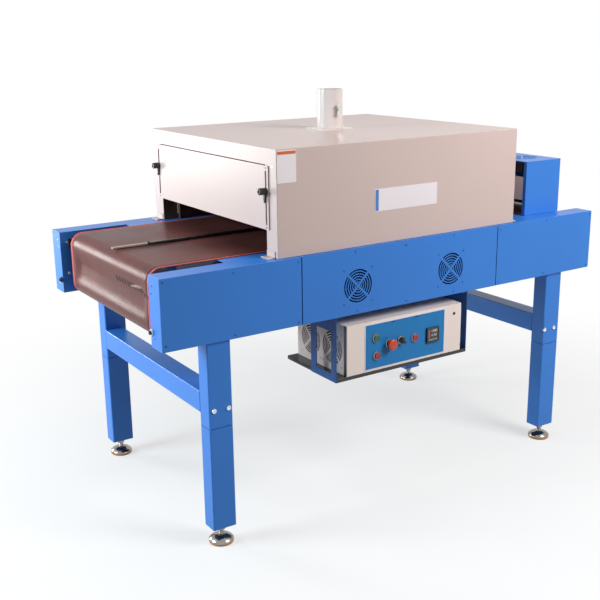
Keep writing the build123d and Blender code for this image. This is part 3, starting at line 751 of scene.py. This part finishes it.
class TUNNEL_OT_hood(bpy.types.Operator):
    """Form the hood's enamelled casing, its feet and its chamber"""
    bl_idname = "tunnel.hood"
    bl_label = "Hood"

    def execute(self, context):
        low, wall_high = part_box("hood_near_wall")
        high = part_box("hood_far_wall")[1]
        wall = wall_high.y - low.y
        roof_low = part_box("hood_roof")[0].z
        ring = ((low.y, low.z), (low.y, high.z), (high.y, high.z), (high.y, low.z), (high.y - wall, low.z),
                (high.y - wall, roof_low), (low.y + wall, roof_low), (low.y + wall, low.z))
        work = bmesh.new()
        face = work.faces.new([work.verts.new((low.x, y, z)) for y, z in ring])
        made = bmesh.ops.extrude_face_region(work, geom=[face])["geom"]
        bmesh.ops.translate(work, vec=(high.x - low.x, 0, 0),
                            verts=[g for g in made if isinstance(g, bmesh.types.BMVert)])
        bmesh.ops.recalc_face_normals(work, faces=work.faces)
        round_edges(work, sharp_edges(work), context.scene.tunnel_paint.edge_radius, 3)
        casing = as_piece("hood_casing", work, finish("hood_cream"))
        self.bored(context, casing, high.z)
        half_gap = CENTRE_Y - low.y - wall + 0.0004
        for face in casing.data.polygons:
            inside = abs(face.center.y - CENTRE_Y) < half_gap and low.z + 0.001 < face.center.z < roof_low + 0.0004
            if inside and abs(face.normal.x) < 0.5:
                face.material_index = 1
        casing.data.set_sharp_from_angle(angle=radians(SHARP))
        even_faces(casing)
        fit(casing, "hood_near_wall", stands_for=("hood_near_wall", "hood_far_wall", "hood_roof"))

        softened(0.0008, "hood_cream", "hood_feet")
        spots = [Vector((low.x + 0.0001, CENTRE_Y + s * y, level(z))) for s in (-1, 1)
                 for y, z in ((0.385, 466), (0.377, 389))]
        repeated("hood_post_screws", screw_head(0.0028, 0.001), spots, INFEED, "bolt_zinc", "hood_near_wall")
        softened(0.0005, "chamber", "chamber_liner", segments=1)
        edge = place(-411, 345, 223)
        boxes("liner_edge_strip", [(edge, edge + Vector((0.0008, 0.0025, 0.036)))], "box_cream_and_baffle_light", "chamber_liner")
        return {"FINISHED"}

    def bored(self, context, casing, top):
        """Cuts the exhaust bore, and leaves the casing's mesh with its outer and its inner finish."""
        pipe_low, pipe_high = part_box("exhaust_pipe")
        middle = (pipe_low + pipe_high) / 2
        bore = bmesh.new()
        bmesh.ops.create_cone(bore, cap_ends=True, segments=64, radius1=BORE_RADIUS, radius2=BORE_RADIUS,
                              depth=0.2, matrix=Matrix.Translation((middle.x, middle.y, top)))
        cutter = as_piece("bore_cutter", bore, finish("chamber"))
        casing.modifiers.clear()
        cut = casing.modifiers.new("exhaust_bore", "BOOLEAN")
        cut.object = cutter
        cut.operation = "DIFFERENCE"
        cut.solver = "EXACT"
        whole = bpy.data.meshes.new_from_object(casing.evaluated_get(context.evaluated_depsgraph_get()))
        casing.modifiers.clear()
        casing.data = whole
        whole.materials.clear()
        for colour in ("hood_cream", "chamber"):
            whole.materials.append(finish(colour))
        bpy.data.objects.remove(cutter)


class TUNNEL_OT_plain_plates(bpy.types.Operator):
    """Set the two plain plates on the hood's near side"""
    bl_idname = "tunnel.plain_plates"
    bl_label = "Plain plates"

    def execute(self, context):
        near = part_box("hood_near_wall")[0].y
        for name, x0, x1, z0, z1, band, colour in (
                ("corner_plate", -463, -400, 421, 513, (-464, -399, 499, 512), "plate_orange"),
                ("name_plate_blank", -120, 124, 305, 373, (-120, -104, 305, 373), "plate_band")):
            plate(name, (x0 / 1000, near - 0.0006, level(z0)), (x1 / 1000, near - 0.0001, level(z1)),
                  "plate_white", "hood_near_wall", 0.0015, 3)
            x0, x1, z0, z1 = band
            plate(name + "_band", (x0 / 1000 + 0.002, near - 0.0008, level(z0) + 0.002),
                  (x1 / 1000 - 0.002, near - 0.0005, level(z1) - 0.002), colour, "hood_near_wall", 0.001, 2)
        return {"FINISHED"}


class TUNNEL_OT_shutters(bpy.types.Operator):
    """Fold the shutters' edges and finish their studs and clamp levers"""
    bl_idname = "tunnel.shutters"
    bl_label = "Shutters and clamp levers"

    def execute(self, context):
        softened(0.0009, "hood_cream", "infeed_shutter", "outfeed_shutter", segments=3)
        softened(0.0004, "plated", "clamp_studs", segments=1)
        softened(0.0012, "lever_black", "near_clamp_lever", "far_clamp_lever", segments=3)
        low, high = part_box("infeed_shutter")
        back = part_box("hood_near_wall")[0].x - 0.0002
        fold, inset = 0.003, 0.0004
        folds = ((low.y, high.y, high.z - fold, high.z), (low.y, low.y + fold, low.z, high.z - fold),
                 (high.y - fold, high.y, low.z, high.z - fold))
        boxes("shutter_returns", [((high.x - 0.0005, y0 + inset, z0), (back, y1 - inset, z1 - inset))
                                  for y0, y1, z0, z1 in folds], "hood_cream", "infeed_shutter")
        spots = [Vector((low.x + 0.0009, CENTRE_Y + s * 0.356, z)) for s in (-1, 1)
                 for z in (low.z + 0.0065, high.z - 0.0065)]
        repeated("shutter_slot_screws", screw_head(0.0034, 0.0012), spots, INFEED, "screw_dark", "infeed_shutter")
        return {"FINISHED"}


class TUNNEL_OT_exhaust(bpy.types.Operator):
    """Enamel the exhaust pipe and finish its damper"""
    bl_idname = "tunnel.exhaust"
    bl_label = "Exhaust pipe and damper"

    def execute(self, context):
        softened(0.0005, "pipe_cream", "exhaust_pipe")
        softened(0.0006, "plated", "exhaust_damper")
        return {"FINISHED"}


class TUNNEL_OT_cooling_cover(bpy.types.Operator):
    """Paint the cooling cover, its fans and its baffle, and hang the outfeed strips"""
    bl_idname = "tunnel.cooling_cover"
    bl_label = "Cooling cover"

    def execute(self, context):
        softened(0.0009, "frame_blue", "cooling_cover_near", "cooling_cover_far")
        # the baffle takes the control box's paler enamel: painted light making up for the shade under the cooling cover
        softened(0.0008, "box_cream_and_baffle_light", "cooling_baffle")
        # near-black strips close the outfeed end of the cooling cover; their dark colour is painted shade under the
        # cover
        strips = []
        for k in range(12):
            back = 1.6 * (k % 2)
            strips.append((place(737.5 + back, -336 + 56 * k, 211), place(739 + back, min(-278 + 56 * k, 336), 262)))
        boxes("outfeed_curtain", strips, "curtain", "cooling_cover_top", 0.0004, 1)
        paint_nodes("frame_blue", "cooling_cover_top")
        paint_nodes("fan_black", "cooling_fans")
        low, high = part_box("cooling_cover_top")
        middle, reach = (low.x + high.x) / 2, FAN_SCREW / 1000
        spots = [Vector((middle + sx * reach, CENTRE_Y + y + sy * reach, high.z - SCREW_HEIGHT))
                 for y in (-0.246, 0.246) for sx, sy in CORNERS]
        repeated("cooling_fan_screws", screw_head(0.0032, SCREW_HEIGHT), spots, UP, "screw_dark", "cooling_cover_top")
        return {"FINISHED"}


class TUNNEL_OT_guide_strip(bpy.types.Operator):
    """Finish the strip along the middle of the belt"""
    bl_idname = "tunnel.guide_strip"
    bl_label = "Centre strip"

    def execute(self, context):
        softened(0.0012, "strip_black", "centre_guide_strip")
        low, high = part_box("guide_strip_tip")
        strip_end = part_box("centre_guide_strip")[1].x
        wide = Vector((0, 0.002, 0))
        boxes("strip_sleeve", [(Vector((high.x - 0.0005, low.y, low.z)) - wide,
                                Vector((strip_end, high.y, high.z + 0.003)) + wide)],
              "strip_black", "centre_guide_strip", width=0.0012)
        # the tip's black core shows below its beige band: painted shade on the tip's sides
        boxes("strip_tip_core", [((low.x + 0.006, low.y, low.z), high)], "strip_black", "guide_strip_tip",
              0.0008)
        boxes("strip_tip_band", [(Vector((low.x, low.y, high.z - 0.0025)) - wide,
                                  Vector((high.x, high.y, high.z + 0.0022)) + wide)],
              "strip_beige", "guide_strip_tip", width=0.0007, stands_for=("guide_strip_tip",))
        spun("strip_clip", ((0.0, 0.0), (0.0045, 0.0), (0.0045, 0.0015), (0.0035, 0.003), (0.0, 0.003)),
             (high.x + 0.004, (low.y + high.y) / 2, high.z + 0.003), UP, 20, "strip_black", "centre_guide_strip")
        return {"FINISHED"}


# Legs and feet

FOOT_RADIUS = 0.038
FOOT_PAD = ((0.0, 0.0), (0.0352, 0.0), (0.0372, 0.0016), (0.0374, 0.0062), (0.0366, 0.0074), (0.0, 0.0074))
FOOT_DOME = ((0.0, 0.0070), (0.0376, 0.0070), (0.0380, 0.0080), (0.0380, 0.0102), (0.0364, 0.0132),
             (0.0325, 0.0172), (0.0272, 0.0207), (0.0210, 0.0236), (0.0155, 0.0254), (0.0125, 0.0260),
             (0.0, 0.0260))
THREADS = 4
BOLT_ROW = (-690, -643, 645, 692)


class TUNNEL_OT_legs(bpy.types.Operator):
    """Paint the legs and rails, bolt the joints and turn the levelling feet"""
    bl_idname = "tunnel.legs"
    bl_label = "Legs and feet"

    def execute(self, context):
        softened(0.0006, "frame_blue", "upper_legs", "lower_legs", "cross_rails")
        head = screw_head(context.scene.tunnel_fasteners.leg_bolt, 0.0045, 0.55)
        for side, s in SIDES:
            spots = [place(x, s * 410, -205) for x in BOLT_ROW]
            repeated(side + "_leg_bolts", head, spots, (0, s, 0), "bolt_zinc", "upper_legs")

        low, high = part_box("levelling_feet")
        domes, pads = bmesh.new(), bmesh.new()
        for x in (low.x + FOOT_RADIUS, high.x - FOOT_RADIUS):
            for y in (low.y + FOOT_RADIUS, high.y - FOOT_RADIUS):
                self.foot(domes, pads, Vector((x, y, 0.0)))
        # the domes' dark plating is a painted reflection of a dark room
        fitted("levelling_feet_turned", domes, "foot_dark_reflection_plated", "levelling_feet", stands_for=("levelling_feet",),
               sharp=40.0)
        fitted("foot_pads", pads, "foot_pad", "levelling_feet")
        return {"FINISHED"}

    def foot(self, domes, pads, base):
        """Adds one pad, and its dome, threaded stud and nut."""
        turned(pads, FOOT_PAD, base, UP, 48)
        turned(domes, FOOT_DOME, base, UP, 48)
        rings = [(0.0080, 0.0262)]
        for k in range(THREADS):
            rings += [(0.0080, 0.0268 + k * 0.0028), (0.0072, 0.0282 + k * 0.0028)]
        turned(domes, [(0.0, 0.0262), *rings, (0.0080, 0.0400), (0.0080, 0.0555), (0.0, 0.0555)], base, UP, 24)
        nut = bmesh.new()
        bmesh.ops.create_cone(nut, cap_ends=True, segments=6, radius1=0.013, radius2=0.013, depth=0.012,
                              matrix=Matrix.Translation(base + Vector((0, 0, 0.046))))
        round_edges(nut, sharp_edges(nut), 0.0009, 2)
        domes.from_mesh(as_mesh("nut_pattern", nut))


# Control box


class TUNNEL_OT_control_box(bpy.types.Operator):
    """Enamel the control box and finish its tray, hangers, fans and lock"""
    bl_idname = "tunnel.control_box"
    bl_label = "Control box"

    def execute(self, context):
        paint_nodes("box_cream_and_baffle_light", "control_box")
        softened(0.0009, "box_cream_and_baffle_light", "control_box_front", segments=3)
        softened(0.0004, "plate_blue", "control_panel_plate", segments=1)
        paint_nodes("fan_black", "control_box_fans")
        softened(0.0007, "tray", "control_box_tray")
        # the hangers' darker blue is painted shade from the frames above them
        softened(0.0007, "hanger_shaded_blue", "infeed_hanger", "outfeed_hanger")
        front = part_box("control_box_front")[0].y
        spun("door_lock", ((0.0, 0.0), (0.0050, 0.0), (0.0050, 0.0012), (0.0044, 0.0018), (0.0018, 0.0018),
                           (0.0018, 0.0006), (0.0, 0.0006)), (0.2015, front, level(-66)), NEAR, 28,
             "lever_black", "control_box_front")

        box_low, box_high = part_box("control_box")
        half = 0.0006
        # dark grey strips down both sides of the box at the door: painted shade along the door's edge
        boxes("door_returns", [((x - half, box_low.y + 0.0005, box_low.z + 0.0004),
                                (x + half, box_low.y + 0.012, box_high.z - 0.0004))
                               for x in (box_low.x, box_high.x)], "door_side_shade", "control_box")
        low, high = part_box("control_panel_plate")
        border = 0.0035
        plate("panel_plate_border", (low.x - border, front - 0.0008, low.z - border),
              (high.x + border, front - 0.0001, high.z + border), "plate_white", "control_box_front", 0.002, 3)
        boxes("panel_plate_clips", [((x - 0.007, low.y - half, high.z - 0.0045),
                                     (x + 0.007, low.y + half, high.z - 0.0012)) for x in (-0.0548, 0.0421)],
              "screw_dark", "control_panel_plate")
        spots = [place(box_low.x * 1000, y + sy * FAN_SCREW, -122 + sz * FAN_SCREW) + Vector((SCREW_HEIGHT, 0, 0))
                 for y in (-341, -222) for sy, sz in CORNERS]
        repeated("box_fan_screws", screw_head(0.0032, SCREW_HEIGHT), spots, INFEED, "screw_dark", "control_box")
        return {"FINISHED"}


# Profiles of the controls: radius, and depth below the tip
PUSH_CROWN = ((0.011, 0.0016), (0.0102, 0.0004), (0.0090, 0.0), (0.0080, 0.0006), (0.0045, 0.0010), (0.0, 0.0011))
MUSHROOM = ((0.009, 0.0142), (0.0150, 0.0138), (0.0172, 0.0120), (0.0180, 0.0085), (0.0178, 0.0048),
            (0.0165, 0.0022), (0.0140, 0.0008), (0.0090, 0.0002), (0.0, 0.0))


class TUNNEL_OT_controls(bpy.types.Operator):
    """Turn the push buttons, the mushroom stop, the selector and their rings"""
    bl_idname = "tunnel.controls"
    bl_label = "Buttons and selector"

    def execute(self, context):
        plate_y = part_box("control_panel_plate")[0].y
        rings = bmesh.new()
        for node in ("start_button", "halt_button", "reset_button", "mode_selector", "stop_button"):
            bore = 0.0095 if node == "stop_button" else 0.0115
            turned(rings, ((bore, 0.0001), (0.0145, 0.0001), (0.0145, 0.0028), (0.0132, 0.0046), (0.0122, 0.0050),
                           (bore, 0.0050), (bore, 0.0001)), self.seat(node, plate_y), NEAR, 40)
        # the rings' dark plating is partly dark metal, partly painted reflection of a dark room
        fitted("button_rings", rings, "ring_dark_and_reflection", "control_bezels", stands_for=("control_bezels",))

        for node, name, colour, crown, steps in (
                ("start_button", "start_button_turned", "green", PUSH_CROWN, 40),
                ("halt_button", "halt_button_turned", "red", PUSH_CROWN, 40),
                ("reset_button", "reset_button_turned", "red", PUSH_CROWN, 40),
                ("stop_button", "stop_mushroom_turned", "mushroom", MUSHROOM, 48)):
            low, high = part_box(node)
            foot = -(high.y - plate_y)
            profile = [(0.0, foot), (crown[0][0], foot), *((r, plate_y - low.y - down) for r, down in crown)]
            spun(name, profile, self.seat(node, plate_y), NEAR, steps, colour, node, stands_for=(node,),
                 sharp=ROUND_SHARP)

        softened(0.0009, "lever_black", "mode_selector", segments=3)
        low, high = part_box("mode_selector")
        middle = (low + high) / 2
        work = bmesh.new()
        mark = box_into(work, (-0.0006, 0.0, 0.0015), (0.0006, 0.0006, 0.0095))
        turn = Matrix.Translation((middle.x, low.y, middle.z)) @ Matrix.Rotation(-pi / 4, 4, "Y")
        bmesh.ops.transform(work, matrix=turn, verts=mark)
        fitted("selector_mark", work, "nylon", "mode_selector")
        return {"FINISHED"}

    def seat(self, node, y):
        low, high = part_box(node)
        return Vector(((low.x + high.x) / 2, y, (low.z + high.z) / 2))


SEGMENTS = {"0": "abcdef", "1": "bc", "2": "abged", "5": "afgcd", "8": "abcdefg"}


class TUNNEL_OT_display(bpy.types.Operator):
    """Build the temperature display: housing, digits, lamps and keys"""
    bl_idname = "tunnel.display"
    bl_label = "Temperature display"

    def execute(self, context):
        low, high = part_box("temperature_display")
        work = bmesh.new()
        box_into(work, (low.x, low.y + 0.0008, low.z), high)
        front = min(work.faces, key=lambda f: f.calc_center_median().y)
        bmesh.ops.inset_individual(work, faces=[front], thickness=0.0035)
        sunk = bmesh.ops.extrude_discrete_faces(work, faces=[front])["faces"]
        bmesh.ops.translate(work, vec=(0, 0.0014, 0), verts=sunk[0].verts)
        round_edges(work, sharp_edges(work), 0.0004, 2)
        fitted("display_housing", work, "display_face", "temperature_display", stands_for=("temperature_display",))

        face = low.y + 0.0022
        out, back = face - 0.0003, face + 0.0002
        for name, text, z0, tall in (("upper_digits", "1285", high.z - 0.0165, 0.0095),
                                     ("lower_digits", "1250", high.z - 0.0300, 0.0085)):
            bars = [bar for k, sign in enumerate(text)
                    for bar in self.digit(sign, low.x + 0.0155 + k * tall * 0.78, z0, tall)]
            boxes(name, [((x0, out, z0), (x1, back, z1)) for x0, x1, z0, z1 in bars],
                  "digit_white", "temperature_display")
        boxes("display_lamps", [((low.x + 0.0065, out, high.z - 0.0125 - k * 0.0065),
                                 (low.x + 0.0115, back, high.z - 0.0090 - k * 0.0065))
                                for k in range(4)], "digit_red", "temperature_display")
        boxes("display_keys", [((x0, face - 0.0010, low.z + 0.0070), (x0 + 0.0075, back, low.z + 0.0125))
                               for x0 in (low.x + 0.0075 + k * 0.0090 for k in range(4))],
              "key_grey", "temperature_display", width=0.0004)
        return {"FINISHED"}

    def digit(self, sign, x0, z0, tall):
        """Left, right, foot and head of each lit segment."""
        wide, bar, half = tall * 0.5, tall * 0.13, tall / 2
        places = {
            "a": (bar, wide - bar, tall - bar, tall), "g": (bar, wide - bar, half - bar / 2, half + bar / 2),
            "d": (bar, wide - bar, 0, bar), "f": (0, bar, half, tall - bar), "b": (wide - bar, wide, half, tall - bar),
            "e": (0, bar, bar, half), "c": (wide - bar, wide, bar, half),
        }
        return [(x0 + left, x0 + right, z0 + foot, z0 + head)
                for left, right, foot, head in (places[key] for key in SEGMENTS[sign])]


# Studio

# the camera that was fitted to the photograph: metres and degrees
CAMERA_PLACE = (-1.834731, -2.624637, 1.453317)
CAMERA_TURN, CAMERA_DIP, CAMERA_ROLL = -32.8893, 15.6205, -0.76235
FLOOR_RADIUS = 14.0


def soft_box(name, where, target, size, power, tint):
    lamp = bpy.data.lights.new(name, "AREA")
    lamp.shape = "SQUARE"
    lamp.size = size
    lamp.energy = power
    lamp.color = tint
    holder = bpy.data.objects.new(name, lamp)
    holder.location = where
    holder.rotation_mode = "QUATERNION"
    holder.rotation_quaternion = (Vector(target) - Vector(where)).to_track_quat("-Z", "Y")
    bpy.context.scene.collection.objects.link(holder)


def seen_directly(tree):
    """1 for camera, glossy and transmission rays, 0 for the light they gather."""
    path = add_node(tree, "LightPath", {})
    total = path.outputs["Is Camera Ray"]
    for ray in ("Is Glossy Ray", "Is Transmission Ray"):
        total = add_node(tree, "Math", {0: total, 1: path.outputs[ray]}, operation="MAXIMUM").outputs["Value"]
    return total


class TUNNEL_OT_studio(bpy.types.Operator):
    """Lay the pale floor, set the soft lights and stand the camera"""
    bl_idname = "tunnel.studio"
    bl_label = "Studio"

    def execute(self, context):
        settings = context.scene.tunnel_studio
        scene = context.scene
        scene.view_settings.view_transform = "Standard"

        world = bpy.data.worlds.new("white_room")
        scene.world = world
        world.use_nodes = True
        tree = world.node_tree
        room = tree.nodes["Background"]
        room.inputs["Color"].default_value = (0.93, 0.96, 1.0, 1.0)
        room.inputs["Strength"].default_value = settings.ambient
        white = add_node(tree, "Background", {"Color": (1.0, 1.0, 1.0)})
        mix = add_node(tree, "MixShader", {0: seen_directly(tree), 1: room.outputs[0], 2: white.outputs[0]})
        tree.links.new(mix.outputs[0], tree.nodes["World Output"].inputs["Surface"])

        work = bmesh.new()
        bmesh.ops.create_circle(work, cap_ends=True, segments=96, radius=FLOOR_RADIUS)
        floor = as_piece("studio_floor", work, self.floor_finish())

        for light in (
                ("infeed_soft_box", (-3.1, 0.55, 1.6), (-0.5, 0.0, 0.8), 1.2, settings.key_power, (0.84, 1.0, 1.06)),
                ("front_soft_box", (1.1, -2.3, 2.3), (0.55, -0.42, 0.75), 1.2, settings.front_power, (1.0, 0.99, 0.97)),
                ("overhead_soft_box", (0.0, 0.1, 3.3), (0.0, 0.0, 0.8), 1.8, settings.top_power, (1.0, 0.98, 0.97)),
                ("back_soft_box", (-2.14, 2.92, 1.0), (-0.8, 0.0, 0.8), 0.9, settings.back_power, (1.0, 0.98, 0.96))):
            soft_box(*light)

        lens = bpy.data.cameras.new("catalogue_camera")
        lens.sensor_width = 36.0
        lens.lens = settings.lens
        camera = bpy.data.objects.new("catalogue_camera", lens)
        stand = (Matrix.Rotation(radians(CAMERA_TURN), 3, "Z") @ Matrix.Rotation(radians(90 - CAMERA_DIP), 3, "X")
                 @ Matrix.Rotation(radians(CAMERA_ROLL), 3, "Z"))
        camera.rotation_mode = "QUATERNION"
        camera.rotation_quaternion = stand.to_quaternion()
        camera.location = CAMERA_PLACE
        scene.collection.objects.link(camera)
        scene.camera = camera
        return {"FINISHED"}

    def floor_finish(self):
        """Matt floor with the machine's shadow, paler to the eye than to bounced light, white further out."""
        skin = Finish("studio_floor_matt", rough=0.9, shine=0.1)
        eye = seen_directly(skin.tree)
        grain = skin.greys(skin.noise(3.0), 0.90, 0.93)
        skin.wire(skin.blend(eye, (0.34, 0.34, 0.34), grain), "Base Color")
        reach = skin.add("VectorMath", {0: skin.where}, operation="LENGTH")
        far = skin.add("MapRange", {"From Min": 0.6, "From Max": 2.3, "To Min": 0.6, "Value": reach.outputs["Value"]},
                       interpolation_type="SMOOTHSTEP")
        share = skin.sums("MULTIPLY", far.outputs["Result"], eye)
        glow = skin.add("Emission", {"Strength": 1.0})
        mix = skin.add("MixShader", {0: share, 1: skin.shader.outputs[0], 2: glow.outputs[0]})
        skin.tree.links.new(mix.outputs[0], skin.tree.nodes["Material Output"].inputs["Surface"])
        return skin.material


OPERATORS = (
    TUNNEL_OT_side_frames, TUNNEL_OT_belt, TUNNEL_OT_bed_and_rollers, TUNNEL_OT_hood, TUNNEL_OT_plain_plates,
    TUNNEL_OT_shutters, TUNNEL_OT_exhaust, TUNNEL_OT_cooling_cover, TUNNEL_OT_guide_strip, TUNNEL_OT_legs,
    TUNNEL_OT_control_box, TUNNEL_OT_controls, TUNNEL_OT_display, TUNNEL_OT_studio,
)


class TUNNEL_PT_sidebar(bpy.types.Panel):
    """Sizes, colours and steps of the shrink tunnel"""
    bl_label = "Shrink Tunnel"
    bl_idname = "TUNNEL_PT_sidebar"
    bl_space_type = "VIEW_3D"
    bl_region_type = "UI"
    bl_category = "Shrink Tunnel"

    def draw(self, context):
        for name, group in GROUPS.items():
            box = self.layout.box()
            for key in group.__annotations__:
                box.prop(getattr(context.scene, name), key)
        for operator in OPERATORS:
            self.layout.operator(operator.bl_idname)


def register():
    for name, group in GROUPS.items():
        bpy.utils.register_class(group)
        setattr(bpy.types.Scene, name, PointerProperty(type=group))
    for operator in OPERATORS:
        bpy.utils.register_class(operator)
    bpy.utils.register_class(TUNNEL_PT_sidebar)


def unregister():
    bpy.utils.unregister_class(TUNNEL_PT_sidebar)
    for operator in reversed(OPERATORS):
        bpy.utils.unregister_class(operator)
    for name, group in GROUPS.items():
        delattr(bpy.types.Scene, name)
        bpy.utils.unregister_class(group)


def main():
    register()
    for operator in OPERATORS:
        family, step = operator.bl_idname.split(".")
        getattr(getattr(bpy.ops, family), step)()


if __name__ == "__main__":
    main()
